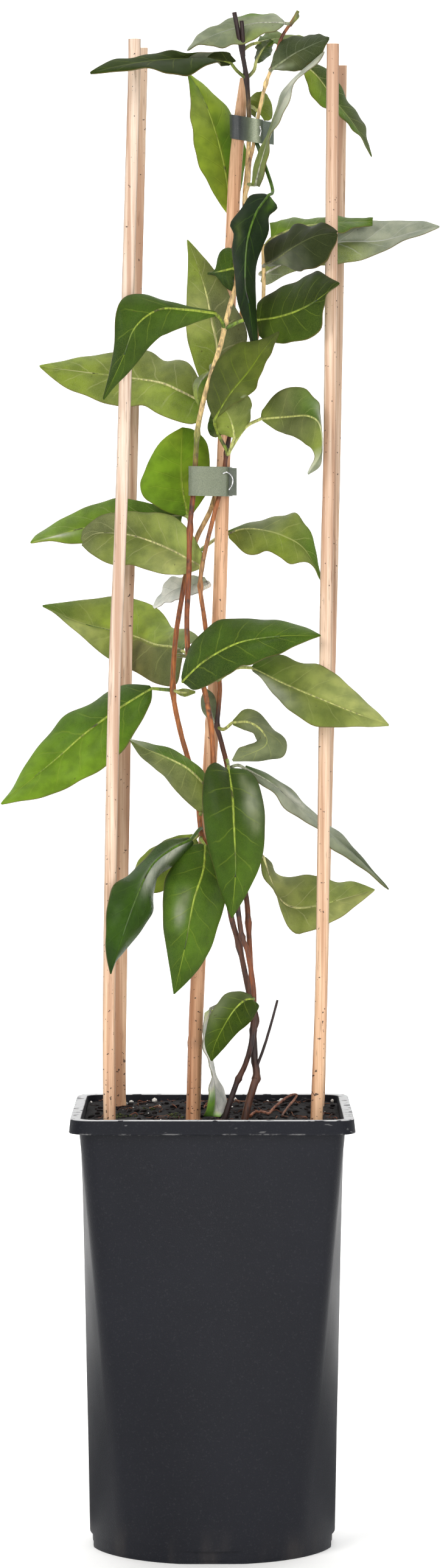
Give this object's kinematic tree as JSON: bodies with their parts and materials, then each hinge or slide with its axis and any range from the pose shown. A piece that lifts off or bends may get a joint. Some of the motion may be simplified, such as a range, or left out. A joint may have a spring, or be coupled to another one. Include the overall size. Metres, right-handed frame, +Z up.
{
  "type": "potted honeysuckle",
  "caption": "Young honeysuckle climber in a square black nursery pot, its leafy shoots tied to a cane between split laths.",
  "frame": {"origin": "centre of the pot's flat underside, on the surface that it stands on", "axes": "+Z up along the pot, -Y towards the front of the plant, +X to the right seen from the front"},
  "size_m": [0.205, 0.1388, 0.7156],
  "materials": {
    "pot": "satin black, fine grain",
    "soil": "dark fibrous compost",
    "lath": "pale split lath",
    "cane": "tan bamboo skin",
    "plant": "living green leaves on thin stems",
    "tape": "grey-green tying tape",
    "wire": "bright staple wire",
    "root": "dry brown root"
  },
  "bodies": {
    "root": {"pot": "pot", "soil": "soil", "lath_front_left": "lath", "lath_front_right": "lath", "lath_back_left": "lath", "lath_back_right": "lath", "cane": "cane", "leafy_stem_left": "plant", "leafy_stem_right": "plant", "tie_upper": "tape", "tie_lower": "tape", "tie_upper_staple": "wire", "tie_lower_staple": "wire", "dry_root": "root"}
  },
  "joints": []
}
